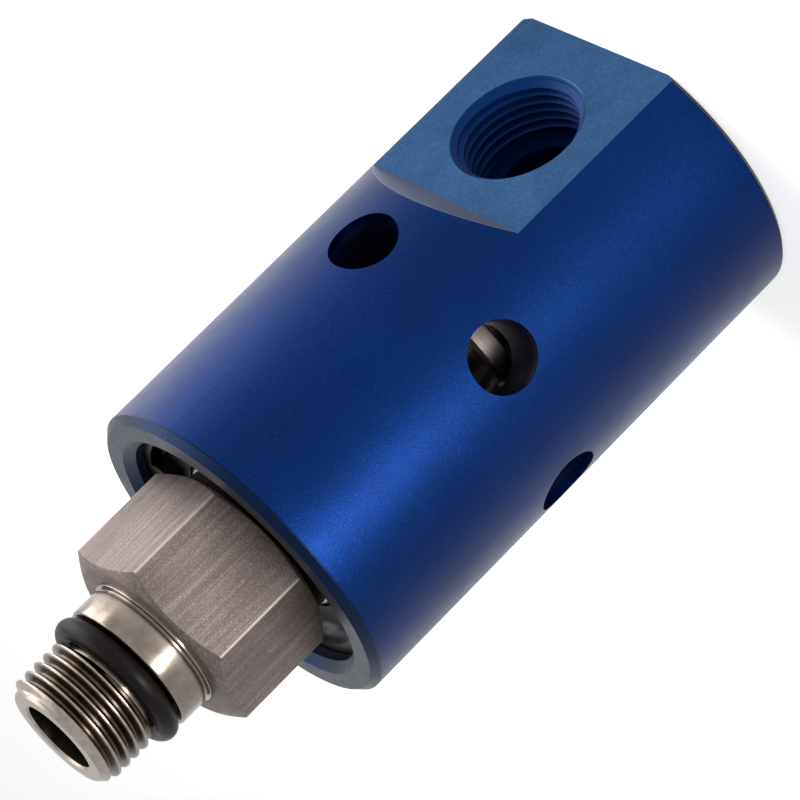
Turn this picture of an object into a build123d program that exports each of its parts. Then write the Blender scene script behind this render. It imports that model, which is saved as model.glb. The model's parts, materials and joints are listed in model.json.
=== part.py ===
from build123d import *
import math
import os

# Hydraulic rotary union: a turning stainless rotor, carried by two ball bearings in a vented
# aluminium housing, joined to the still fluid chamber by a sprung face seal.
# The rotation axis is Z. The housing stands on its closed rear face and the rotor points up.
# The supply port faces +X. All sizes are in millimetres and degrees.

# ---- Housing -------------------------------------------------------------------------------
HOUSING_D = 44.0            # outer diameter
HOUSING_L = 73.0            # rear face to mouth
FRONT_CHAMFER = 0.9         # outer edge at the mouth
REAR_CHAMFER = 0.6          # outer edge at the rear face
MOUTH_CHAMFER = 1.1         # inner edge at the mouth
REAR_WALL = 5.0             # thickness behind the fluid chamber
STEM_BORE_D = 16.0          # fluid chamber, which also guides the floating seal's stem
CHAMBER_D = 29.0            # vented chamber
VENT_COUNT = 6
VENT_D = 8.9
VENT_RISE = 10.4            # chamber floor to the vents' centres

# ---- Supply port, G3/8 in a machined flat ----------------------------------------------------
FLAT_OFFSET = 17.7          # axis to the flat
FLAT_L = 27.5               # rear face to the foot of the slope
FLAT_SLOPE = 45.0           # angle of the slope that runs out of the housing
PORT_Z = 14.7
PORT_THREAD_D = 16.662      # major diameter of the thread
PORT_DEPTH = 8.5            # threaded length below the flat
PORT_PASSAGE_D = 10.0       # drilled way on into the fluid chamber
PORT_CHAMFER = 0.3

# ---- Bearings, 17 x 35 x 10 ------------------------------------------------------------------
BEARING_BORE = 17.0
BEARING_D = 35.0
BEARING_W = 10.0
BALL_D = 4.76
BALL_COUNT = 10
GROOVE_PLAY = 0.08          # ball to the grooves of both races
INNER_RACE_WALL = 2.8
OUTER_RACE_WALL = 2.6
RACE_CHAMFER = 0.4
CAGE_WALL = 1.4
CAGE_W = 6.4
POCKET_PLAY = 0.1           # ball to its pocket in the cage
SHIELD_T = 0.4
SHIELD_INSET = 0.35         # bearing face to shield
SHIELD_SEAT = 0.5           # how far the shield reaches into the outer race

# ---- What holds the bearings -----------------------------------------------------------------
RING_T = 1.5                # circlip in the housing's mouth
RING_INSET = 2.4            # mouth to the circlip
RING_GROOVE_D = 37.0
CLIP_SLOT_PLAY = 0.1        # both circlips to their grooves, along the axis
RING_BAND = 2.7             # radial width opposite the gap
RING_OFFSET = 0.35          # how far the inner edge lies off centre, which thins the ends
RING_GAP = 36.0             # angle between the lugs
RING_TURN = 100.0           # direction of the gap from the port's
RING_LUG_D = 4.4
RING_LUG_HOLE_D = 1.8
SPACER_W = 1.2              # between the outer races
SPACER_WALL = 2.0
PRELOAD_T = 0.4             # conical preload spring beside the outer spacer
PRELOAD_H = 0.8             # its free height
PRELOAD_BAND = 2.2
CLIP_T = 1.0                # circlip on the shaft behind the rear bearing
CLIP_GROOVE_D = 16.2
CLIP_BAND = 1.9
CLIP_GAP = 50.0             # angle of its opening

# ---- Rotor -----------------------------------------------------------------------------------
ROTOR_REACH = 30.2          # housing mouth to the rotor's threaded end
THREAD_D = 16.0             # M16 x 1.5, left hand
THREAD_L = 8.1
THREAD_CHAMFER = 1.2
NECK_D = 13.0
NECK_L = 3.4
PILOT_D = 18.0
PILOT_L = 3.8
PILOT_CHAMFER = 0.3
GROOVE_D = 17.0             # groove between pilot and collar
GROOVE_W = 0.6
COLLAR_D = 18.5
COLLAR_W = 0.3
HEX_AF = 24.0               # across flats
HEX_TURN = -45.0            # direction of one flat from the port's
HEX_CHAMFER = 27.0          # angle of both corner chamfers to the end faces
HEX_FACE_D = 22.8           # front face of the hexagon
HEX_BACK_D = 24.2           # back face of the hexagon
HEX_SINK = 1.4              # how far the hexagon reaches into the mouth
SHOULDER_D = 21.4           # between the hexagon and the front bearing
TAIL_D = 16.6               # behind the shaft circlip
TAIL_L = 4.7
ROTOR_BORE_D = 9.7
BORE_CHAMFER = 0.3

# ---- Face seal -------------------------------------------------------------------------------
SEAL_RING_D = 14.0
SEAL_RING_ID = 10.1
SEAL_RING_W = 3.4
SEAL_POCKET = 1.6           # depth of the pocket that holds each seal ring
SEAL_RING_CHAMFER = 0.4
SEAL_GAP = 0.02             # film between the two rings
HEAD_D = 23.5               # floating carrier's head
HEAD_W = 2.65
HEAD_CHAMFER = 0.4
STEM_PLAY = 0.05            # stem to its bore
STEM_REACH = 6.4            # how far the stem reaches below the chamber's floor
CARRIER_BORE_D = 9.7
STEM_O_RING_SECTION = 1.74
STEM_O_RING_DEPTH = 3.2     # chamber floor to the o-ring's centre
STEM_O_RING_SLOT_W = 2.4
SPRING_WIRE = 1.1
SPRING_TURNS = 2.5
SPRING_PLAY = 0.4           # spring to stem
SPRING_END_PLAY = 0.05
SPRING_SPACE = 6.02         # chamber floor to the back of the head
PIN_D = 2.0                 # anti-rotation pins
PIN_COUNT = 2
PIN_CIRCLE_D = 22.8
PIN_TURN = 90.0             # direction of the first pin from the port's
PIN_CHAMFER = 0.2
PIN_DEPTH = 4.0
PIN_PLAY = 0.05             # pin to the notch in the head's rim
PIN_STAND = 0.6             # how far the pins stand above the head

# ---- O-ring on the rotor's neck and shared clearances ----------------------------------------
O_RING_SECTION = 2.9
FIT_GAP = 0.01              # radial gap of pieces pressed or seated on each other
SEAT_GAP = 0.02             # o-ring to the bottom of its groove
SHIELD_PLAY = 0.3           # shield lip to inner race

# ---- Heights and radii that follow -----------------------------------------------------------
RING_TOP = HOUSING_L - RING_INSET
FRONT_BEARING_Z = RING_TOP - RING_T - BEARING_W
REAR_BEARING_Z = FRONT_BEARING_Z - SPACER_W - PRELOAD_H - BEARING_W
PITCH_R = (BEARING_BORE + BEARING_D) / 4
ROTOR_TOP = HOUSING_L + ROTOR_REACH
NECK_TOP = ROTOR_TOP - THREAD_L
PILOT_TOP = NECK_TOP - NECK_L
GROOVE_TOP = PILOT_TOP - PILOT_L
COLLAR_TOP = GROOVE_TOP - GROOVE_W
HEX_TOP = COLLAR_TOP - COLLAR_W
HEX_BACK = HOUSING_L - HEX_SINK
RACE_TOP = FRONT_BEARING_Z + BEARING_W
CLIP_Z = REAR_BEARING_Z - CLIP_T
TAIL_END = CLIP_Z - CLIP_SLOT_PLAY - TAIL_L
ROTOR_SEAL_Z = TAIL_END + SEAL_POCKET - SEAL_RING_W
CARRIER_SEAL_Z = ROTOR_SEAL_Z - SEAL_GAP - SEAL_RING_W
HEAD_TOP = CARRIER_SEAL_Z + SEAL_POCKET
HEAD_BACK = HEAD_TOP - HEAD_W
CHAMBER_FLOOR_Z = HEAD_BACK - SPRING_SPACE
VENT_Z = CHAMBER_FLOOR_Z + VENT_RISE
STEM_END = CHAMBER_FLOOR_Z - STEM_REACH
STEM_R = STEM_BORE_D / 2 - STEM_PLAY
PIN_TOP = HEAD_TOP + PIN_STAND
REACH = HOUSING_D           # longer than any cut across the housing


def turned(*outline):
    """Solid of revolution about Z from (radius, height) points."""
    return revolve(Plane.XZ * make_face(Polyline(*outline, close=True)), Axis.Z)


def ring(inner_r, outer_r, low, high, chamfer=0.0):
    """Plain ring with all four edges broken by the same chamfer."""
    if chamfer == 0.0:
        return turned((inner_r, low), (outer_r, low), (outer_r, high), (inner_r, high))
    return turned(
        (inner_r + chamfer, low), (outer_r - chamfer, low), (outer_r, low + chamfer),
        (outer_r, high - chamfer), (outer_r - chamfer, high), (inner_r + chamfer, high),
        (inner_r, high - chamfer), (inner_r, low + chamfer))


def torus(ring_r, section_d, z):
    return Pos(0, 0, z) * Torus(ring_r, section_d / 2)


def around(count, radius, turn=0.0):
    """Places evenly spaced on a circle about Z, the first at the angle turn."""
    return [Rot(0, 0, turn + 360 / count * i) * Pos(radius, 0, 0) for i in range(count)]


def opening(angle):
    """Wedge that a circlip's band leaves open, in its own plane."""
    across = REACH * math.tan(math.radians(angle / 2))
    return make_face(Polyline((0, 0), (REACH, -across), (REACH, across), close=True))


def save(node, *solids):
    piece = solids[0] if len(solids) == 1 else Compound(children=list(solids))
    export_step(piece, f"parts/{node}.step")


# ---- Housing ---------------------------------------------------------------------------------
def housing_shell():
    outer_r = HOUSING_D / 2
    bearing_r = BEARING_D / 2
    body = turned(
        (0, 0), (outer_r - REAR_CHAMFER, 0), (outer_r, REAR_CHAMFER),
        (outer_r, HOUSING_L - FRONT_CHAMFER), (outer_r - FRONT_CHAMFER, HOUSING_L), (0, HOUSING_L))
    groove_low = RING_TOP - RING_T
    hollow = turned(
        (0, REAR_WALL), (STEM_BORE_D / 2, REAR_WALL), (STEM_BORE_D / 2, CHAMBER_FLOOR_Z),
        (CHAMBER_D / 2, CHAMBER_FLOOR_Z), (CHAMBER_D / 2, REAR_BEARING_Z),
        (bearing_r, REAR_BEARING_Z), (bearing_r, groove_low), (RING_GROOVE_D / 2, groove_low),
        (RING_GROOVE_D / 2, RING_TOP + CLIP_SLOT_PLAY), (bearing_r, RING_TOP + CLIP_SLOT_PLAY),
        (bearing_r, HOUSING_L - MOUTH_CHAMFER), (bearing_r + MOUTH_CHAMFER, HOUSING_L), (0, HOUSING_L))
    return body - hollow


def flat_cut():
    """What the cutter takes away: everything beyond the flat, and the slope at its front."""
    rise = (REACH - FLAT_OFFSET) * math.tan(math.radians(90 - FLAT_SLOPE))
    side = Polyline((FLAT_OFFSET, -REACH), (FLAT_OFFSET, FLAT_L), (REACH, FLAT_L + rise),
                    (REACH, -REACH), close=True)
    return extrude(Plane.XZ * make_face(side), REACH, both=True)


def port_cut():
    """Threaded bore at its major diameter, with a broken edge, and the passage behind it."""
    thread_r = PORT_THREAD_D / 2
    foot = FLAT_OFFSET - PORT_DEPTH
    bore = turned(
        (0, 0), (PORT_PASSAGE_D / 2, 0), (PORT_PASSAGE_D / 2, foot), (thread_r, foot),
        (thread_r, FLAT_OFFSET - PORT_CHAMFER), (thread_r + PORT_CHAMFER, FLAT_OFFSET),
        (thread_r + PORT_CHAMFER, REACH), (0, REACH))
    return Pos(0, 0, PORT_Z) * Rot(0, 90, 0) * bore


def vent_cuts():
    hole = Rot(0, 90, 0) * Cylinder(VENT_D / 2, HOUSING_D / 2)
    middle = HOUSING_D / 4 + CHAMBER_D / 4
    return [Pos(0, 0, VENT_Z) * place * hole for place in around(VENT_COUNT, middle)]


def pin_holes():
    hole = Cylinder(PIN_D / 2 + FIT_GAP, PIN_DEPTH, align=(Align.CENTER, Align.CENTER, Align.MAX))
    places = around(PIN_COUNT, PIN_CIRCLE_D / 2, PIN_TURN)
    return [Pos(0, 0, CHAMBER_FLOOR_Z) * place * hole for place in places]


def housing():
    return housing_shell() - flat_cut() - port_cut() - vent_cuts() - pin_holes()


def retaining_ring():
    """Internal circlip: a band that thins towards its ends, with a lug and plier hole at each."""
    outer_r = RING_GROOVE_D / 2 - FIT_GAP
    inner_r = outer_r - RING_BAND + RING_OFFSET
    band = Circle(outer_r) - Pos(RING_OFFSET, 0) * Circle(inner_r)
    band -= opening(RING_GAP)
    lug_r = outer_r - RING_LUG_D / 2 - (RING_GROOVE_D - BEARING_D) / 2
    lug_angle = RING_GAP / 2 + math.degrees(RING_LUG_D / 2 / lug_r)
    for angle in (-lug_angle, lug_angle):
        place = Rot(0, 0, angle) * Pos(lug_r, 0)
        band = band + place * Circle(RING_LUG_D / 2) - place * Circle(RING_LUG_HOLE_D / 2)
    return Pos(0, 0, RING_TOP - RING_T) * Rot(0, 0, RING_TURN) * extrude(band, RING_T)


def anti_rotation_pins():
    length = PIN_TOP - (CHAMBER_FLOOR_Z - PIN_DEPTH)
    pin = Cylinder(PIN_D / 2, length, align=(Align.CENTER, Align.CENTER, Align.MAX))
    pin = chamfer(pin.edges(), PIN_CHAMFER)
    return [Pos(0, 0, PIN_TOP) * place * pin for place in around(PIN_COUNT, PIN_CIRCLE_D / 2, PIN_TURN)]


# ---- Bearings --------------------------------------------------------------------------------
def inner_race(z):
    low_r = BEARING_BORE / 2 + FIT_GAP
    race = ring(low_r, BEARING_BORE / 2 + INNER_RACE_WALL, z, z + BEARING_W, RACE_CHAMFER)
    return race - torus(PITCH_R, BALL_D + 2 * GROOVE_PLAY, z + BEARING_W / 2)


def outer_race(z):
    """Outer race with a step at each end, where the shields are pressed in."""
    high_r = BEARING_D / 2 - FIT_GAP
    race = ring(BEARING_D / 2 - OUTER_RACE_WALL, high_r, z, z + BEARING_W, RACE_CHAMFER)
    race -= torus(PITCH_R, BALL_D + 2 * GROOVE_PLAY, z + BEARING_W / 2)
    step_r = BEARING_D / 2 - OUTER_RACE_WALL + SHIELD_SEAT
    step = SHIELD_INSET + SHIELD_T
    for low in (z, z + BEARING_W - step):
        race -= Pos(0, 0, low) * Cylinder(step_r, step, align=(Align.CENTER, Align.CENTER, Align.MIN))
    return race


def shields(z):
    lip_r = BEARING_BORE / 2 + INNER_RACE_WALL + SHIELD_PLAY
    rim_r = BEARING_D / 2 - OUTER_RACE_WALL + SHIELD_SEAT - FIT_GAP
    lows = (z + SHIELD_INSET, z + BEARING_W - SHIELD_INSET - SHIELD_T)
    return [ring(lip_r, rim_r, low, low + SHIELD_T) for low in lows]


def balls(z):
    return [Pos(0, 0, z + BEARING_W / 2) * place * Sphere(BALL_D / 2)
            for place in around(BALL_COUNT, PITCH_R)]


def cage(z):
    middle = z + BEARING_W / 2
    body = ring(PITCH_R - CAGE_WALL / 2, PITCH_R + CAGE_WALL / 2, middle - CAGE_W / 2, middle + CAGE_W / 2)
    pocket = Rot(0, 90, 0) * Cylinder(BALL_D / 2 + POCKET_PLAY, 2 * CAGE_WALL)
    return body - [Pos(0, 0, middle) * place * pocket for place in around(BALL_COUNT, PITCH_R)]


def outer_spacer():
    high_r = BEARING_D / 2 - FIT_GAP
    return ring(high_r - SPACER_WALL, high_r, FRONT_BEARING_Z - SPACER_W, FRONT_BEARING_Z)


def preload_spring():
    """Conical spring washer between the spacer and the rear bearing's outer race."""
    high_r = BEARING_D / 2 - FIT_GAP
    low_r = high_r - PRELOAD_BAND
    z = REAR_BEARING_Z + BEARING_W
    return turned((high_r, z), (high_r, z + PRELOAD_T), (low_r, z + PRELOAD_H),
                  (low_r, z + PRELOAD_H - PRELOAD_T))


def inner_spacer():
    low_r = BEARING_BORE / 2 + FIT_GAP
    return ring(low_r, low_r + SPACER_WALL, REAR_BEARING_Z + BEARING_W, FRONT_BEARING_Z)


def shaft_circlip():
    low_r = CLIP_GROOVE_D / 2 + FIT_GAP
    band = Circle(low_r + CLIP_BAND) - Circle(low_r)
    band -= opening(CLIP_GAP)
    return Pos(0, 0, CLIP_Z) * extrude(band, CLIP_T)


# ---- Rotor -----------------------------------------------------------------------------------
def rotor_shaft():
    """Everything on the rotor that is turned, as one outline from its bore outwards."""
    bore_r = ROTOR_BORE_D / 2
    journal_r = BEARING_BORE / 2
    pocket_r = SEAL_RING_D / 2 + FIT_GAP
    clip_low = CLIP_Z - CLIP_SLOT_PLAY
    return turned(
        (bore_r, TAIL_END + SEAL_POCKET), (pocket_r, TAIL_END + SEAL_POCKET), (pocket_r, TAIL_END),
        (TAIL_D / 2, TAIL_END), (TAIL_D / 2, clip_low), (CLIP_GROOVE_D / 2, clip_low),
        (CLIP_GROOVE_D / 2, REAR_BEARING_Z), (journal_r, REAR_BEARING_Z), (journal_r, RACE_TOP),
        (SHOULDER_D / 2, RACE_TOP), (SHOULDER_D / 2, HEX_TOP), (COLLAR_D / 2, HEX_TOP),
        (COLLAR_D / 2, COLLAR_TOP), (GROOVE_D / 2, COLLAR_TOP), (GROOVE_D / 2, GROOVE_TOP),
        (PILOT_D / 2, GROOVE_TOP), (PILOT_D / 2, PILOT_TOP - PILOT_CHAMFER),
        (PILOT_D / 2 - PILOT_CHAMFER, PILOT_TOP), (NECK_D / 2, PILOT_TOP), (NECK_D / 2, NECK_TOP),
        (THREAD_D / 2, NECK_TOP), (THREAD_D / 2, ROTOR_TOP - THREAD_CHAMFER),
        (THREAD_D / 2 - THREAD_CHAMFER, ROTOR_TOP), (bore_r + BORE_CHAMFER, ROTOR_TOP),
        (bore_r, ROTOR_TOP - BORE_CHAMFER))


def hexagon():
    """Spanner hexagon with its corners turned down at both ends."""
    corner_r = HEX_AF / 2 / math.cos(math.radians(30))
    slope = math.tan(math.radians(HEX_CHAMFER))
    prism = extrude(RegularPolygon(corner_r, 6), HEX_TOP - HEX_BACK)
    envelope = turned(
        (0, HEX_BACK), (HEX_BACK_D / 2, HEX_BACK), (corner_r, HEX_BACK + (corner_r - HEX_BACK_D / 2) * slope),
        (corner_r, HEX_TOP - (corner_r - HEX_FACE_D / 2) * slope), (HEX_FACE_D / 2, HEX_TOP), (0, HEX_TOP))
    bore = Pos(0, 0, HEX_BACK) * Cylinder(SHOULDER_D / 2 - FIT_GAP, HEX_TOP - HEX_BACK,
                                          align=(Align.CENTER, Align.CENTER, Align.MIN))
    return Pos(0, 0, HEX_BACK) * Rot(0, 0, HEX_TURN + 30) * prism & envelope - bore


def rotor():
    return rotor_shaft() + hexagon()


def pilot_o_ring():
    return torus(NECK_D / 2 + SEAT_GAP + O_RING_SECTION / 2, O_RING_SECTION, (NECK_TOP + PILOT_TOP) / 2)


# ---- Face seal -------------------------------------------------------------------------------
def seal_ring(low, nose_up):
    """Seal ring whose sealing nose is chamfered, held by its other end."""
    inner_r = SEAL_RING_ID / 2
    outer_r = SEAL_RING_D / 2
    back, nose = (low, low + SEAL_RING_W) if nose_up else (low + SEAL_RING_W, low)
    relief = nose - SEAL_RING_CHAMFER if nose_up else nose + SEAL_RING_CHAMFER
    return turned((inner_r, back), (outer_r, back), (outer_r, relief),
                  (outer_r - SEAL_RING_CHAMFER, nose), (inner_r, nose))


def floating_seal_carrier():
    """Head with a pocket for the seal ring, and a hollow stem with an o-ring groove."""
    bore_r = CARRIER_BORE_D / 2
    pocket_r = SEAL_RING_D / 2 + FIT_GAP
    slot_r = STEM_BORE_D / 2 - STEM_PLAY - STEM_O_RING_SECTION
    slot_z = CHAMBER_FLOOR_Z - STEM_O_RING_DEPTH
    slot_low = slot_z - STEM_O_RING_SLOT_W / 2
    slot_high = slot_z + STEM_O_RING_SLOT_W / 2
    body = turned(
        (bore_r, STEM_END), (STEM_R, STEM_END), (STEM_R, slot_low), (slot_r, slot_low),
        (slot_r, slot_high), (STEM_R, slot_high), (STEM_R, HEAD_BACK), (HEAD_D / 2, HEAD_BACK),
        (HEAD_D / 2, HEAD_TOP - HEAD_CHAMFER), (HEAD_D / 2 - HEAD_CHAMFER, HEAD_TOP),
        (pocket_r, HEAD_TOP), (pocket_r, CARRIER_SEAL_Z), (bore_r, CARRIER_SEAL_Z))
    notch_r = PIN_D / 2 + PIN_PLAY
    notch = Cylinder(notch_r, HEAD_W, align=(Align.CENTER, Align.CENTER, Align.MIN))
    notch += Box(HEAD_D, 2 * notch_r, HEAD_W, align=(Align.MIN, Align.CENTER, Align.MIN))
    places = around(PIN_COUNT, PIN_CIRCLE_D / 2, PIN_TURN)
    return body - [Pos(0, 0, HEAD_BACK) * place * notch for place in places]


def carrier_o_ring():
    outer_r = STEM_BORE_D / 2 - STEM_PLAY
    middle_r = outer_r - STEM_O_RING_SECTION / 2 + SEAT_GAP
    return torus(middle_r, STEM_O_RING_SECTION, CHAMBER_FLOOR_Z - STEM_O_RING_DEPTH)


def compression_spring():
    """Open coil round the stem, between the chamber's floor and the back of the head."""
    coil_r = STEM_R + SPRING_PLAY + SPRING_WIRE / 2
    low = CHAMBER_FLOOR_Z + SPRING_END_PLAY + SPRING_WIRE / 2
    height = HEAD_BACK - SPRING_END_PLAY - SPRING_WIRE / 2 - low
    path = Helix(height / SPRING_TURNS, height, coil_r)
    wire = sweep(Plane(origin=path @ 0, z_dir=path % 0) * Circle(SPRING_WIRE / 2), path=path)
    return Pos(0, 0, low) * wire


# ---- Pieces to files -------------------------------------------------------------------------
os.makedirs("parts", exist_ok=True)

save("housing", housing())
save("retaining_ring", retaining_ring())
save("anti_rotation_pins", *anti_rotation_pins())
save("outer_spacer", outer_spacer())
save("preload_spring", preload_spring())
save("inner_spacer", inner_spacer())
save("shaft_circlip", shaft_circlip())
for name, foot in (("front_bearing", FRONT_BEARING_Z), ("rear_bearing", REAR_BEARING_Z)):
    save(f"{name}_outer_race", outer_race(foot))
    save(f"{name}_inner_race", inner_race(foot))
    save(f"{name}_balls", *balls(foot))
    save(f"{name}_cage", cage(foot))
    save(f"{name}_shields", *shields(foot))
save("rotor", rotor())
save("pilot_o_ring", pilot_o_ring())
save("rotor_seal_ring", seal_ring(ROTOR_SEAL_Z, nose_up=False))
save("floating_seal_carrier", floating_seal_carrier())
save("carrier_seal_ring", seal_ring(CARRIER_SEAL_Z, nose_up=True))
save("carrier_o_ring", carrier_o_ring())
save("compression_spring", compression_spring())
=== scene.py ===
import json
import math

import bmesh
import bpy
from mathutils import Matrix, Vector


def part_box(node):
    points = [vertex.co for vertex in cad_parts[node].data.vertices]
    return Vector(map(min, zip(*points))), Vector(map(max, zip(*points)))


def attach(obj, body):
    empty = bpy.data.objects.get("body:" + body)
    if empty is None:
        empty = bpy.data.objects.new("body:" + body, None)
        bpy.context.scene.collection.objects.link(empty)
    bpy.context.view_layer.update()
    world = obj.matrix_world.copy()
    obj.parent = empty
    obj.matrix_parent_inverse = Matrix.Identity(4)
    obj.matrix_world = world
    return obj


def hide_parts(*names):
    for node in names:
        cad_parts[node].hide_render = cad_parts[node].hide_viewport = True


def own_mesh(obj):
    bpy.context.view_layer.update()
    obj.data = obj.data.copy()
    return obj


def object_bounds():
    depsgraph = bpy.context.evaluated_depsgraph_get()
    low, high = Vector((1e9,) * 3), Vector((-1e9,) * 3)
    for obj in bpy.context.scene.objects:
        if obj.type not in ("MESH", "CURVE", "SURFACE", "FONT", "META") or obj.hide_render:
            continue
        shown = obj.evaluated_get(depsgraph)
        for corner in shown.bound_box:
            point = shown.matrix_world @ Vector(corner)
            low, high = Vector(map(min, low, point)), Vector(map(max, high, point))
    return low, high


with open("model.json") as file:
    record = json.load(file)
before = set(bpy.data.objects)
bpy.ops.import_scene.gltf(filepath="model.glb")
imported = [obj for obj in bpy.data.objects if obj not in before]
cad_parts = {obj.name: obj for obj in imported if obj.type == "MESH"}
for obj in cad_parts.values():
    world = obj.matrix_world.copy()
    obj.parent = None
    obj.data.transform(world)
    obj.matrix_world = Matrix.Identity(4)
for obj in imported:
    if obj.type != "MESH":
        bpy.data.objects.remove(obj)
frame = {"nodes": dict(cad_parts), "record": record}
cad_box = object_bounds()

MM = 0.001
TURN = 2 * math.pi

# ---- Places and sizes read from the frame ----------------------------------------------------
MOUNTS = {mount["name"]: mount for mount in frame["record"]["mounts"]}
HOUSING_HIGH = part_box("housing")[1]
ROTOR_LOW, ROTOR_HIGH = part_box("rotor")
SPRING_LOW, SPRING_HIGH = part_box("compression_spring")
O_RING_LOW, O_RING_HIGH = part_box("pilot_o_ring")
HOUSING_R = HOUSING_HIGH.x
MOUTH_Z = HOUSING_HIGH.z
ROTOR_TOP = ROTOR_HIGH.z
THREAD_R = MOUNTS["rotor_thread"]["dims"]["r_mm"] * MM
PILOT_R = MOUNTS["rotor_pilot"]["dims"]["r_mm"] * MM
BORE_R = MOUNTS["rotor_bore"]["dims"]["r_mm"] * MM
PORT_R = MOUNTS["supply_port"]["dims"]["r_mm"] * MM
PORT_Z = MOUNTS["supply_port"]["pos_m"][2]
PORT_X = MOUNTS["port_face"]["pos_m"][0]

# ---- Rotor ------------------------------------------------------------------------------------
THREAD_PITCH = 1.5 * MM
THREAD_DEPTH = 0.92 * MM
THREAD_L = 8.1 * MM
THREAD_CHAMFER = 1.2 * MM
THREAD_CREST = 0.11
RUN_OUT_SLOPE = 3.6
BORE_CHAMFER = 0.3 * MM
NECK_R = 6.5 * MM
NECK_L = 3.4 * MM
PILOT_L = 3.8 * MM
GROOVE_R = 8.5 * MM
GROOVE_W = 0.6 * MM
COLLAR_R = 9.25 * MM
COLLAR_W = 0.3 * MM
HEX_AF = 24.0 * MM
HEX_CORNER_R = HEX_AF / 2 / math.cos(TURN / 12)
HEX_TURN = math.radians(-45)
HEX_SLOPE = math.tan(math.radians(27))
HEX_FACE_R = 11.4 * MM
HEX_BACK_R = 12.1 * MM
HEX_SINK = 1.4 * MM
CORNER_BREAK = 0.06 * MM
HEX_LAP = 2.0 * MM
SHOULDER_R = 10.7 * MM
RACE_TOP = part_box("front_bearing_inner_race")[1].z
CLIP_CLEARANCE = 0.1 * MM
CLIP_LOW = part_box("shaft_circlip")[0].z - CLIP_CLEARANCE
REAR_RACE_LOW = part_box("rear_bearing_inner_race")[0].z
JOURNAL_R = 8.5 * MM
CLIP_GROOVE_R = 8.1 * MM
TAIL_R = 8.3 * MM
SEAL_POCKET_R = 7.01 * MM
SEAL_POCKET = 1.6 * MM
EDGE = 0.12 * MM
TUCK = 0.25 * MM
NECK_TOP = ROTOR_TOP - THREAD_L
PILOT_TOP = NECK_TOP - NECK_L
GROOVE_TOP = PILOT_TOP - PILOT_L
COLLAR_TOP = GROOVE_TOP - GROOVE_W
HEX_TOP = COLLAR_TOP - COLLAR_W
HEX_BACK = MOUTH_Z - HEX_SINK

# ---- Port thread, G3/8 -------------------------------------------------------------------------
PORT_PITCH = 1.337 * MM
PORT_THREAD_DEPTH = 0.856 * MM
PORT_DEPTH = 8.5 * MM
PORT_CHAMFER = 0.3 * MM
PORT_LEAD_IN = 1.2
PORT_SKIN = 0.01 * MM
FLAT_L = 27.5 * MM

# ---- Seals and spring --------------------------------------------------------------------------
MOULD_FLASH = 0.035 * MM
FLASH_ANGLE = 0.09
O_RING_SLACK = 0.04 * MM
SPRING_WIRE_R = 0.55 * MM
SPRING_TURNS = 3.2
SPRING_DEAD_TURNS = 0.45

# ---- View --------------------------------------------------------------------------------------
CAMERA_AZIMUTH = math.radians(43.65)
CAMERA_ELEVATION = math.radians(17.53)
CAMERA_ROLL = math.radians(-134.95)
CAMERA_DISTANCE = 0.5325
CAMERA_LENS = 201.5
LOOK_AT = Vector((-0.20, -0.19, 45.1)) * MM

# ---- Studio, in metres, watts and shares of white ----------------------------------------------
WORLD_FILL = 0.3
FLOOR_REACH = 6.0
FLOOR_GREY = 0.8
FLOOR_GLOW = 0.55
LAMPS = {  # name: (polar angle in degrees, reach, height, (width, height of the lamp), power)
    "key": (-75, 0.27, 0.07, (0.045, 0.14), 0.55),
    "back": (58, 0.37, 0.135, (0.36, 0.27), 1.30),
    "top": (66, 0.52, 0.52, (0.4, 0.4), 1.5),
}


# ---- Mesh helpers ------------------------------------------------------------------------------
def new_piece(name, vertices, faces, smooth_angle=30.0):
    """Mesh object with outward faces, smooth except where two faces meet at more than the angle."""
    mesh = bpy.data.meshes.new(name)
    mesh.from_pydata(vertices, [], faces)
    work = bmesh.new()
    work.from_mesh(mesh)
    bmesh.ops.remove_doubles(work, verts=work.verts, dist=1e-7)
    bmesh.ops.dissolve_degenerate(work, dist=1e-7, edges=work.edges)
    bmesh.ops.recalc_face_normals(work, faces=work.faces)
    for face in work.faces:
        face.smooth = True
    limit = math.radians(smooth_angle)
    for edge in work.edges:
        edge.smooth = len(edge.link_faces) == 2 and edge.calc_face_angle(0.0) < limit
    work.to_mesh(mesh)
    work.free()
    piece = bpy.data.objects.new(name, mesh)
    bpy.context.scene.collection.objects.link(piece)
    return piece


def on_circle(radius, angle, z):
    return radius * math.cos(angle), radius * math.sin(angle), z


def joined(columns, count, closed=True):
    """Faces between neighbouring columns of count points, and from the last back to the first if closed."""
    faces = []
    for i in range(columns if closed else columns - 1):
        a, b = i * count, (i + 1) % columns * count
        for k in range(count):
            after = (k + 1) % count
            faces.append((a + k, b + k, b + after, a + after))
    return faces


def softened(outline, edge):
    """Closed outline of (radius, height) points with every corner rounded by three short steps."""
    rounded = []
    count = len(outline)
    for i, (r, z) in enumerate(outline):
        corner = Vector((r, z))
        before = Vector(outline[i - 1])
        after = Vector(outline[(i + 1) % count])
        reach = min(edge, (before - corner).length / 3, (after - corner).length / 3)
        start = corner + (before - corner).normalized() * reach
        end = corner + (after - corner).normalized() * reach
        for t in (0.0, 0.33, 0.67, 1.0):
            point = start.lerp(corner, t).lerp(corner.lerp(end, t), t)
            rounded.append((point.x, point.y))
    return rounded


def lathe(name, outline, edge=EDGE, segments=192):
    """Closed body of revolution about Z."""
    points = softened(outline, edge) if edge else outline
    vertices = []
    for i in range(segments):
        vertices += [on_circle(r, TURN * i / segments, z) for r, z in points]
    return new_piece(name, vertices, joined(segments, len(points)), 50.0)


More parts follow.
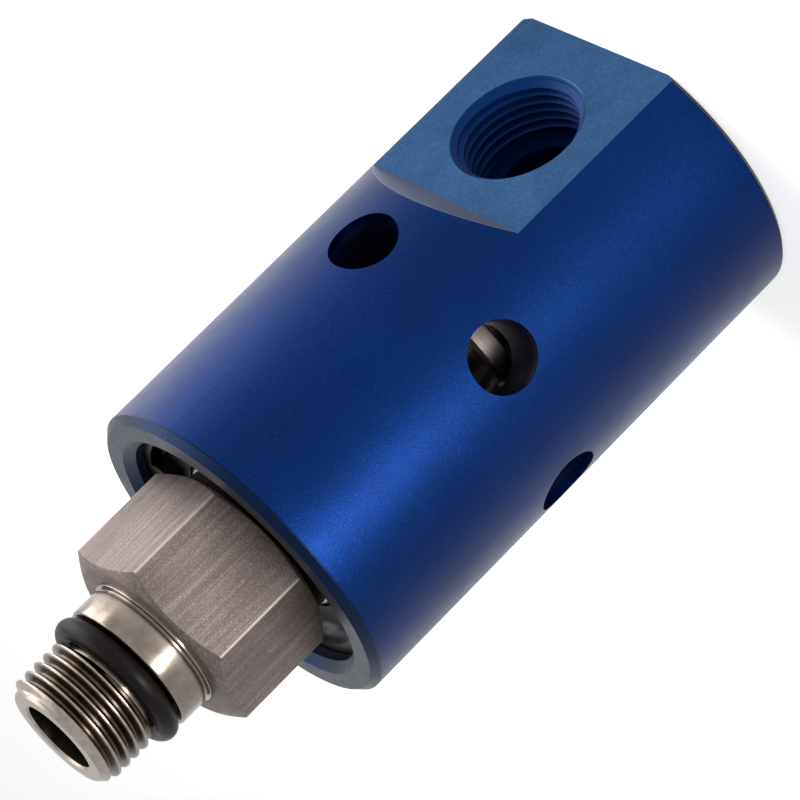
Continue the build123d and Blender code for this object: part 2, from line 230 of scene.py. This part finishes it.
def thread_profile(pitch, depth):
    """One pitch of a 60 degree thread as (share of the pitch, height), from root to root."""
    flank = depth * math.tan(math.radians(30)) / pitch
    root = 1 - THREAD_CREST - 2 * flank
    up = [(0.0, 0.0), (0.12, 0.07), (0.5, 0.5), (0.9, 0.94), (1.0, 1.0)]
    down = [(1.0, 1.0), (1.1, 0.94), (1.5, 0.5), (1.88, 0.07)]
    steps = [(0.0, 0.0)]
    steps += [(root + along * flank, height) for along, height in up]
    steps += [(root + along * flank + THREAD_CREST, height) for along, height in down]
    return [(share, height * depth) for share, height in steps]


def thread_points(turn, low, high, pitch, depth, hand):
    """(height along the axis, height of the thread) from below low to above high at one angle."""
    shift = hand * turn * pitch
    points = []
    profile = thread_profile(pitch, depth)
    for k in range(-2, int((high - low) / pitch) + 3):
        points += [(low + (k + share) * pitch + shift, rise) for share, rise in profile]
    return points


def threaded(name, column, segments):
    """Body swept a whole turn. The last column is the first one shifted by a pitch, so it isn't shared."""
    columns = segments + 1
    vertices = []
    for i in range(columns):
        vertices += [on_circle(r, TURN * i / segments, z) for r, z in column(i / segments)]
    return new_piece(name, vertices, joined(columns, len(column(0.0)), closed=False), 24.0)


def rotor_thread():
    """Left-hand M16 stub: ridges that run out into the neck and are chamfered at the end."""
    root_r = THREAD_R - THREAD_DEPTH

    def column(turn):
        outline = [(BORE_R, NECK_TOP), (NECK_R - EDGE, NECK_TOP)]
        for z, rise in thread_points(turn, NECK_TOP, ROTOR_TOP, THREAD_PITCH, THREAD_DEPTH, -1):
            z = min(max(z, NECK_TOP), ROTOR_TOP)
            run_out = NECK_R + RUN_OUT_SLOPE * (z - NECK_TOP)
            lead_in = THREAD_R - THREAD_CHAMFER + (ROTOR_TOP - z)
            outline.append((min(root_r + rise, run_out, lead_in), z))
        return outline + [(BORE_R + BORE_CHAMFER, ROTOR_TOP), (BORE_R, ROTOR_TOP - BORE_CHAMFER)]

    return threaded("rotor_thread", column, 216)


def hexagon():
    """Spanner hexagon with both ends turned down and its long edges slightly broken."""
    break_angle = math.acos(HEX_AF / 2 / (HEX_CORNER_R - CORNER_BREAK))
    steps = 14
    side = [-break_angle + 2 * break_angle * k / steps for k in range(steps + 1)]
    vertices = []
    for k in range(6):
        for offset in side:
            angle = HEX_TURN + TURN / 6 * k + offset
            reach = HEX_AF / 2 / math.cos(offset)
            outline = softened([
                (SHOULDER_R, HEX_BACK),
                (min(reach, HEX_BACK_R) - EDGE, HEX_BACK),
                (reach, HEX_BACK + max(0.0, reach - HEX_BACK_R) * HEX_SLOPE + EDGE),
                (reach, HEX_TOP - (reach - HEX_FACE_R) * HEX_SLOPE),
                (HEX_FACE_R, HEX_TOP),
                (SHOULDER_R - HEX_LAP, HEX_TOP)], EDGE)
            vertices += [on_circle(r, angle, z) for r, z in outline]
    return new_piece("rotor_hexagon", vertices, joined(6 * len(side), len(outline)), 22.0)


def rotor_turned():
    """Tail, journal, shoulder, collar, pilot and neck, down the whole length of the bore."""
    low = ROTOR_LOW.z
    collar_low = HEX_TOP - TUCK
    neck_high = NECK_TOP + TUCK / 5
    return lathe("rotor_turned", [
        (BORE_R, low + SEAL_POCKET), (SEAL_POCKET_R, low + SEAL_POCKET), (SEAL_POCKET_R, low),
        (TAIL_R, low), (TAIL_R, CLIP_LOW), (CLIP_GROOVE_R, CLIP_LOW), (CLIP_GROOVE_R, REAR_RACE_LOW),
        (JOURNAL_R, REAR_RACE_LOW), (JOURNAL_R, RACE_TOP), (SHOULDER_R, RACE_TOP),
        (SHOULDER_R, collar_low), (COLLAR_R, collar_low), (COLLAR_R, COLLAR_TOP),
        (GROOVE_R, COLLAR_TOP), (GROOVE_R, GROOVE_TOP), (PILOT_R, GROOVE_TOP),
        (PILOT_R, PILOT_TOP - 2 * EDGE), (PILOT_R - 2 * EDGE, PILOT_TOP), (NECK_R, PILOT_TOP),
        (NECK_R, neck_high), (BORE_R, neck_high)])


def pilot_o_ring():
    """Round section, with the thin parting line that moulding leaves round its inner side."""
    section = (O_RING_HIGH.z - O_RING_LOW.z) / 2
    ring_r = O_RING_HIGH.x - section
    middle = (O_RING_HIGH.z + O_RING_LOW.z) / 2
    outline = []
    steps = 56
    for k in range(steps):
        angle = TURN * k / steps
        flash = MOULD_FLASH * math.exp(-((angle - TURN / 2) / FLASH_ANGLE) ** 2)
        reach = section - O_RING_SLACK + flash
        outline.append((ring_r + reach * math.cos(angle), middle + reach * math.sin(angle)))
    return lathe("pilot_o_ring_moulded", outline, edge=0, segments=160)


def port_thread():
    """G3/8 ridges inside the port, turned about X from the flat's edge down to the foot."""
    foot = PORT_X - PORT_DEPTH + 2 * PORT_SKIN
    mouth = PORT_X - PORT_CHAMFER
    wall = PORT_R - PORT_SKIN

    def column(turn):
        outline = [(wall, foot)]
        for z, rise in thread_points(turn, foot, mouth, PORT_PITCH, PORT_THREAD_DEPTH, 1):
            z = min(max(z, foot), mouth)
            lead_in = wall - PORT_LEAD_IN * (mouth - z)
            outline.append((max(wall - 3 * PORT_SKIN - rise, lead_in), z))
        return outline + [(wall, mouth)]

    piece = threaded("port_thread", column, 180)
    piece.data.transform(Matrix.Translation((0, 0, PORT_Z)) @ Matrix.Rotation(TURN / 4, 4, "Y"))
    return piece


def spring_coil():
    """Round wire whose end turns close up, as long as the space that the CAD spring fills."""
    wire = SPRING_WIRE_R
    coil_r = (SPRING_HIGH.x - SPRING_LOW.x) / 2 - wire
    low, high = SPRING_LOW.z + wire, SPRING_HIGH.z - wire
    rising_turns = SPRING_TURNS - 2 * SPRING_DEAD_TURNS
    steps, sides = 220, 14
    centres = []
    for k in range(steps + 1):
        turns = SPRING_TURNS * k / steps
        rise = min(1.0, max(0.0, (turns - SPRING_DEAD_TURNS) / rising_turns))
        centres.append(Vector(on_circle(coil_r, TURN * turns, low + (high - low) * rise)))
    vertices = []
    for k, centre in enumerate(centres):
        along = (centres[min(k + 1, steps)] - centres[max(k - 1, 0)]).normalized()
        out = Vector((centre.x, centre.y, 0)).normalized()
        side = along.cross(out).normalized()
        for j in range(sides):
            a = TURN * j / sides
            vertices.append(centre + (out * math.cos(a) + side * math.sin(a)) * wire)
    faces = []
    for k in range(steps):
        for j in range(sides):
            a, b = k * sides + j, k * sides + (j + 1) % sides
            faces.append((a, b, b + sides, a + sides))
    faces.append(tuple(range(sides)))
    faces.append(tuple(steps * sides + j for j in range(sides)))
    return new_piece("compression_spring_coil", vertices, faces, 50.0)


# ---- Materials ---------------------------------------------------------------------------------
BLAST_DEPTH = 0.05 * MM
GRAIN_DEPTH = 0.03 * MM
MIX_SOCKETS = (0, 6, 7)  # factor and the two colours of a Mix node


class Nodes:
    """A material's nodes, with short calls for the ones that the finishes share."""

    def __init__(self, name):
        self.material = bpy.data.materials.new(name)
        self.material.use_nodes = True
        self.tree = self.material.node_tree
        self.shader = self.tree.nodes["Principled BSDF"]
        self.place = self.add("ShaderNodeTexCoord").outputs["Object"]

    def add(self, kind, **values):
        node = self.tree.nodes.new(kind)
        for key, value in values.items():
            setattr(node, key, value)
        return node

    def link(self, source, target):
        self.tree.links.new(source, target)

    def feed(self, socket, value):
        """Link another node's output, or set a colour or a number."""
        if hasattr(value, "is_linked"):
            self.link(value, socket)
        elif hasattr(value, "__len__"):
            socket.default_value = (*value, 1)
        else:
            socket.default_value = value

    def set(self, **values):
        for key, value in values.items():
            self.shader.inputs[key.replace("_", " ")].default_value = value

    def noise(self, scale, detail=2.0, stretch=None, rough=0.5):
        """Noise whose size is about 1 / scale metres, stretched along the axes if asked."""
        node = self.add("ShaderNodeTexNoise")
        node.inputs["Scale"].default_value = scale
        node.inputs["Detail"].default_value = detail
        node.inputs["Roughness"].default_value = rough
        source = self.place
        if stretch:
            mapping = self.add("ShaderNodeMapping")
            mapping.inputs["Scale"].default_value = stretch
            self.link(source, mapping.inputs["Vector"])
            source = mapping.outputs["Vector"]
        self.link(source, node.inputs["Vector"])
        return node.outputs["Fac"]

    def ramp(self, source, stops):
        node = self.add("ShaderNodeValToRGB")
        node.color_ramp.elements.remove(node.color_ramp.elements[1])
        for i, (position, colour) in enumerate(stops):
            element = node.color_ramp.elements[0] if i == 0 else node.color_ramp.elements.new(position)
            element.position = position
            element.color = (*colour, 1) if hasattr(colour, "__len__") else (colour, colour, colour, 1)
        self.link(source, node.inputs["Fac"])
        return node.outputs["Color"]

    def range(self, source, low, high, from_low=0.3, from_high=0.7):
        node = self.add("ShaderNodeMapRange")
        limits = {"From Min": from_low, "From Max": from_high, "To Min": low, "To Max": high}
        for name, value in limits.items():
            node.inputs[name].default_value = value
        self.link(source, node.inputs["Value"])
        return node.outputs["Result"]

    def mix(self, share, a, b, mode="MIX"):
        node = self.add("ShaderNodeMix", data_type="RGBA", blend_type=mode)
        for number, value in zip(MIX_SOCKETS, (share, a, b)):
            self.feed(node.inputs[number], value)
        return node.outputs[2]

    def math(self, operation, a, b=0.0):
        node = self.add("ShaderNodeMath", operation=operation)
        for socket, value in zip(node.inputs, (a, b)):
            self.feed(socket, value)
        return node.outputs[0]

    def near(self, value, place, reach):
        """1 within a reach of a place, 0 elsewhere."""
        return self.math("LESS_THAN", self.math("ABSOLUTE", self.math("SUBTRACT", value, place)), reach)

    def axes(self):
        """X and Z in metres, and the distance from the rotation axis."""
        parts = self.add("ShaderNodeSeparateXYZ")
        self.link(self.place, parts.inputs[0])
        x, y, z = parts.outputs
        square = self.math("ADD", self.math("MULTIPLY", x, x), self.math("MULTIPLY", y, y))
        return x, z, self.math("SQRT", square)

    def bump(self, *layers):
        """Layers of (height, strength, distance in metres), each laid on the one before."""
        before = None
        for height, strength, distance in layers:
            node = self.add("ShaderNodeBump")
            node.inputs["Strength"].default_value = strength
            node.inputs["Distance"].default_value = distance
            self.link(height, node.inputs["Height"])
            if before:
                self.link(before, node.inputs["Normal"])
            before = node.outputs["Normal"]
        self.link(before, self.shader.inputs["Normal"])

    def rings(self, per_metre):
        """Fine turned lines: noise that changes only outwards and along the rotation axis."""
        _, z, radius = self.axes()
        flattened = self.add("ShaderNodeCombineXYZ")
        self.link(radius, flattened.inputs["X"])
        self.link(z, flattened.inputs["Y"])
        node = self.add("ShaderNodeTexNoise")
        node.inputs["Scale"].default_value = per_metre
        node.inputs["Detail"].default_value = 3.0
        self.link(flattened.outputs[0], node.inputs["Vector"])
        return node.outputs["Fac"]


def anodised_blue():
    """Bead-blasted aluminium, anodised with a blue dye: navy with a fine bright grain; a paler milled flat,
    partly its finish and partly painted reflection; its slope painted pale with reflection; painted shade on
    the end faces; dark blue in the port and painted shade, nearly black, in the other bores."""
    m = Nodes("anodised_blue")
    x, z, radius = m.axes()
    grain = m.noise(4600, 2, rough=0.6)
    clouds = m.noise(45, 4, rough=0.6)
    milling = m.noise(160, 5, rough=0.65)
    navy = m.ramp(clouds, [(0.3, (0.0, 0.0135, 0.083)), (0.7, (0.0, 0.0185, 0.106))])
    # Milled flat: paler blue with a touch of white, partly its own finish and partly painted reflection.
    milled = m.ramp(milling, [(0.3, (0.010, 0.052, 0.140)), (0.7, (0.022, 0.082, 0.195))])
    speck = m.ramp(grain, [(0.35, 0.80), (0.55, 1.0), (0.75, 1.6)])

    above_flat = m.math("MAXIMUM", m.math("SUBTRACT", z, FLAT_L), 0.0)
    on_flat = m.near(m.math("SUBTRACT", x, above_flat), PORT_X, 0.06 * MM)
    on_slope = m.math("MULTIPLY", on_flat, m.math("GREATER_THAN", above_flat, 0.0))
    front_face = m.math("GREATER_THAN", z, MOUTH_Z - 1.15 * MM)
    end_face = m.math("MAXIMUM", front_face, m.math("LESS_THAN", z, 0.7 * MM))
    # Painted shade: the bores other than the port are nearly black and rougher; the port keeps a plain dark
    # blue.
    bore = m.math("LESS_THAN", radius, HOUSING_R - 1.2 * MM)
    inside = m.math("MULTIPLY", bore, m.math("SUBTRACT", 1.0, m.math("MAXIMUM", on_flat, end_face)))
    in_port = m.math("MULTIPLY", inside, m.math("LESS_THAN", z, FLAT_L))

    # Painted shade: the end faces take a much darker navy.
    colour = m.mix(end_face, navy, (0.001, 0.009, 0.036))
    # Painted reflection: the slope takes a pale lavender grey.
    colour = m.mix(on_slope, m.mix(on_flat, colour, milled), (0.115, 0.125, 0.195))
    colour = m.mix(1.0, colour, speck, "MULTIPLY")
    dark = m.mix(in_port, (0.0, 0.0016, 0.020), (0.0, 0.018, 0.095))
    m.link(m.mix(inside, colour, dark), m.shader.inputs["Base Color"])
    rough = m.range(m.noise(300, 3), 0.36, 0.42)
    m.link(m.math("MAXIMUM", rough, m.math("MULTIPLY", inside, 0.6)), m.shader.inputs["Roughness"])
    # Painted shade: the other bores lose most of their metal, so that no reflection lifts them; the port
    # loses little.
    bore_shade_metal_loss = m.math("SUBTRACT", m.math("MULTIPLY", inside, 0.92), m.math("MULTIPLY", in_port, 0.80))
    m.link(m.math("SUBTRACT", 1.0, bore_shade_metal_loss), m.shader.inputs["Metallic"])
    m.set(Specular_IOR_Level=0.12, Coat_Weight=0.09, Coat_Roughness=0.36)
    m.bump((grain, 0.75, BLAST_DEPTH), (m.noise(1500, 2), 0.15, 0.06 * MM))
    return m.material


def metal(name, dark, light, rough, metallic=1.0, turned=0, patch=160):
    """Bare metal: patchy colour, fine grain, and turned lines where a lathe made it."""
    m = Nodes(name)
    colour = m.ramp(m.noise(patch, 4, rough=0.6), [(0.3, dark), (0.7, light)])
    m.link(colour, m.shader.inputs["Base Color"])
    m.link(m.range(m.noise(500, 3), *rough), m.shader.inputs["Roughness"])
    m.set(Metallic=metallic)
    layers = [(m.noise(3000, 3, rough=0.6), 0.3, GRAIN_DEPTH)]
    if turned:
        layers.append((m.rings(turned), 0.35, GRAIN_DEPTH))
    m.bump(*layers)
    return m.material


def milled_steel():
    """Matte hexagon: warm grey with fine bright specks, faint lines along the axis and painted highlights
    along the corners.
    """
    m = Nodes("milled_steel")
    _, _, radius = m.axes()
    patches = m.ramp(m.noise(140, 3), [(0.3, (0.150, 0.118, 0.109)), (0.7, (0.200, 0.163, 0.150))])
    fine = m.noise(6000, 2, rough=0.75)
    lines = m.noise(1900, 3, stretch=(1, 1, 0.045))
    speck = m.ramp(fine, [(0.30, 0.62), (0.52, 0.95), (0.62, 1.2), (0.72, 2.6)])
    streak = m.ramp(lines, [(0.35, 0.84), (0.55, 1.0), (0.70, 1.30)])
    colour = m.mix(1.0, m.mix(1.0, patches, speck, "MULTIPLY"), streak, "MULTIPLY")
    # Painted highlight: a pale line along each long corner.
    corner_highlight = m.range(radius, 0.0, 0.85, HEX_CORNER_R - 0.13 * MM, HEX_CORNER_R - CORNER_BREAK)
    m.link(m.mix(corner_highlight, colour, (0.46, 0.40, 0.365)), m.shader.inputs["Base Color"])
    m.link(m.range(fine, 0.46, 0.62), m.shader.inputs["Roughness"])
    m.set(Metallic=0.88)
    m.bump((lines, 0.45, BLAST_DEPTH), (fine, 0.55, BLAST_DEPTH))
    return m.material


def threaded_steel():
    """Flanks darkened with painted shade between bright crests, on a pale chamfer and end face."""
    m = Nodes("thread_steel")
    _, z, radius = m.axes()
    flank_clouds = m.noise(420, 4, rough=0.6)
    # Painted shade: the flanks between the crests are darkened; the crests keep the bright steel.
    flank_shade = m.ramp(flank_clouds, [(0.3, (0.040, 0.026, 0.018)), (0.7, (0.100, 0.074, 0.056))])
    patches = m.noise(900, 3)
    bright = m.ramp(patches, [(0.3, (0.25, 0.215, 0.185)), (0.7, (0.36, 0.315, 0.275))])
    crest = m.range(radius, 0.0, 1.0, THREAD_R - 0.30 * MM, THREAD_R - 0.05 * MM)
    chamfer = m.math("GREATER_THAN", z, ROTOR_TOP - THREAD_CHAMFER - 0.2 * MM)
    end = m.math("MULTIPLY", chamfer, m.math("GREATER_THAN", radius, BORE_R + 0.01 * MM))
    m.link(m.mix(m.math("MAXIMUM", crest, end), flank_shade, bright), m.shader.inputs["Base Color"])
    m.link(m.range(patches, 0.24, 0.36), m.shader.inputs["Roughness"])
    m.set(Metallic=1.0)
    m.bump((m.noise(5000, 3), 0.3, GRAIN_DEPTH), (m.rings(7000), 0.35, GRAIN_DEPTH))
    return m.material


def rubber():
    """Smooth black nitrile with a faint cloudiness."""
    m = Nodes("nitrile_rubber")
    black = m.ramp(m.noise(900, 3), [(0.3, (0.0045, 0.003, 0.003)), (0.7, (0.0075, 0.005, 0.005))])
    m.link(black, m.shader.inputs["Base Color"])
    m.link(m.range(m.noise(420, 3), 0.34, 0.46), m.shader.inputs["Roughness"])
    m.set(Specular_IOR_Level=0.10)
    m.bump((m.noise(5200, 2), 0.25, GRAIN_DEPTH))
    return m.material


FINISHES = {
    "hexagon": milled_steel(),
    "pilot": metal("pilot_steel", (0.17, 0.14, 0.118), (0.28, 0.236, 0.203), (0.15, 0.24), turned=9000,
                   patch=330),
    "thread": threaded_steel(),
    "race": metal("race_steel", (0.44, 0.44, 0.45), (0.54, 0.54, 0.55), (0.16, 0.26), turned=12000),
    # Near-black bearing shields: painted shade inside the housing.
    "shield": metal("shield_steel", (0.014, 0.013, 0.013), (0.028, 0.026, 0.025), (0.42, 0.56), turned=5000),
    "spring": metal("dark_spring_steel", (0.012, 0.011, 0.011), (0.028, 0.026, 0.025), (0.28, 0.42)),
    "turned": metal("turned_steel", (0.36, 0.35, 0.34), (0.46, 0.45, 0.43), (0.24, 0.36), turned=8000),
    "coil": metal("coil_steel", (0.30, 0.28, 0.26), (0.40, 0.38, 0.36), (0.24, 0.38)),
    "carrier": metal("carrier_steel", (0.30, 0.25, 0.23), (0.40, 0.345, 0.32), (0.30, 0.42), turned=7000),
    "seal": metal("seal_carbide", (0.03, 0.03, 0.034), (0.055, 0.055, 0.06), (0.18, 0.3), metallic=0.4),
    "brass": metal("cage_brass", (0.42, 0.27, 0.08), (0.54, 0.37, 0.13), (0.24, 0.38), turned=6000),
    "blue": anodised_blue(),
    "rubber": rubber(),
}


def finish(piece, key):
    """Give a piece, or a CAD node that stays, one of the finishes."""
    piece.data.materials.clear()
    piece.data.materials.append(FINISHES[key])
    return piece


# ---- Pieces on their bodies --------------------------------------------------------------------
def place(piece, body, slot, key, *nodes):
    """Finish a new piece, ride it on its body and let it stand for the CAD nodes named."""
    finish(piece, key)
    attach(piece, body)
    if nodes:
        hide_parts(*nodes)
    return piece


place(rotor_turned(), "rotor", "stainless_rotor", "pilot", "rotor")
place(hexagon(), "rotor", "stainless_rotor", "hexagon")
place(rotor_thread(), "rotor", "stainless_rotor", "thread")
place(pilot_o_ring(), "rotor", "o_ring_rubber", "rubber", "pilot_o_ring")
place(port_thread(), "housing", "anodised_housing", "blue")
coil = place(spring_coil(), "housing", "spring_steel", "coil", "compression_spring")
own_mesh(coil)

CAD_FINISHES = {
    "housing": "blue", "retaining_ring": "spring", "anti_rotation_pins": "turned", "outer_spacer": "turned",
    "inner_spacer": "turned", "preload_spring": "spring", "shaft_circlip": "spring",
    "floating_seal_carrier": "carrier", "rotor_seal_ring": "seal", "carrier_seal_ring": "seal",
    "carrier_o_ring": "rubber",
}
for bearing in ("front_bearing", "rear_bearing"):
    for node in ("outer_race", "inner_race", "balls"):
        CAD_FINISHES[f"{bearing}_{node}"] = "race"
    CAD_FINISHES[f"{bearing}_cage"] = "brass"
    CAD_FINISHES[f"{bearing}_shields"] = "shield"
for node, key in CAD_FINISHES.items():
    finish(frame["nodes"][node], key)


# ---- Studio ------------------------------------------------------------------------------------
def seen_directly(tree):
    """1 for camera, glossy and transmission rays, 0 for the rest."""
    path = tree.nodes.new("ShaderNodeLightPath")
    seen = path.outputs["Is Camera Ray"]
    for ray in ("Is Glossy Ray", "Is Transmission Ray"):
        either = tree.nodes.new("ShaderNodeMath")
        either.operation = "MAXIMUM"
        tree.links.new(seen, either.inputs[0])
        tree.links.new(path.outputs[ray], either.inputs[1])
        seen = either.outputs[0]
    return seen


def studio_world():
    """White where it is seen, and a soft fill everywhere else."""
    world = bpy.data.worlds.new("studio")
    world.use_nodes = True
    bpy.context.scene.world = world
    tree = world.node_tree
    background = tree.nodes["Background"]
    background.inputs["Color"].default_value = (1, 1, 1, 1)
    strength = tree.nodes.new("ShaderNodeMapRange")
    strength.inputs["To Min"].default_value = WORLD_FILL
    strength.inputs["To Max"].default_value = 1.0
    tree.links.new(seen_directly(tree), strength.inputs["Value"])
    tree.links.new(strength.outputs["Result"], background.inputs["Strength"])


def studio_floor():
    """Plain pale floor: bright where nothing shades it, and darker in the object's shadow."""
    corners = [(FLOOR_REACH * x, FLOOR_REACH * y, 0) for x, y in ((-1, -1), (1, -1), (1, 1), (-1, 1))]
    floor = new_piece("floor", corners, [(0, 1, 2, 3)])
    material = bpy.data.materials.new("floor")
    material.use_nodes = True
    tree = material.node_tree
    shader = tree.nodes["Principled BSDF"]
    shader.inputs["Base Color"].default_value = (FLOOR_GREY, FLOOR_GREY, FLOOR_GREY, 1)
    shader.inputs["Roughness"].default_value = 0.9
    shader.inputs["Emission Color"].default_value = (1, 1, 1, 1)
    glow = tree.nodes.new("ShaderNodeMath")
    glow.operation = "MULTIPLY"
    glow.inputs[1].default_value = FLOOR_GLOW
    tree.links.new(seen_directly(tree), glow.inputs[0])
    tree.links.new(glow.outputs[0], shader.inputs["Emission Strength"])
    floor.data.materials.append(material)
    floor.location.z = min(0.0, cad_box[0][2])


def softbox(name, polar, reach, height, size, power):
    """Rectangular lamp at a distance and height from the foot of the axis, facing the object."""
    lamp = bpy.data.lights.new(name, "AREA")
    lamp.shape = "RECTANGLE"
    lamp.size, lamp.size_y = size
    lamp.energy = power
    target = Vector((0, 0, min(height, MOUTH_Z)))
    light = bpy.data.objects.new(name, lamp)
    light.location = on_circle(reach, math.radians(polar), height)
    light.rotation_euler = (light.location - target).to_track_quat("Z", "Y").to_euler()
    light.visible_camera = False
    bpy.context.scene.collection.objects.link(light)


def camera():
    """Long lens, looking down a little at the object and rolled so that the object lies slantwise."""
    data = bpy.data.cameras.new("camera")
    data.sensor_width = 36
    data.lens = CAMERA_LENS
    data.clip_start = 0.01
    level = math.cos(CAMERA_ELEVATION)
    towards = Vector(on_circle(level, CAMERA_AZIMUTH - TURN / 4, math.sin(CAMERA_ELEVATION)))
    right = Vector((0, 0, 1)).cross(towards).normalized()
    up = towards.cross(right)
    turn = Matrix((right, up, towards)).transposed().to_4x4() @ Matrix.Rotation(CAMERA_ROLL, 4, "Z")
    view = bpy.data.objects.new("camera", data)
    view.matrix_world = Matrix.Translation(LOOK_AT + towards * CAMERA_DISTANCE) @ turn
    bpy.context.scene.collection.objects.link(view)
    bpy.context.scene.camera = view


studio_world()
studio_floor()
for lamp_name, setting in LAMPS.items():
    softbox(lamp_name, *setting)
camera()
bpy.context.scene.view_settings.view_transform = "Standard"
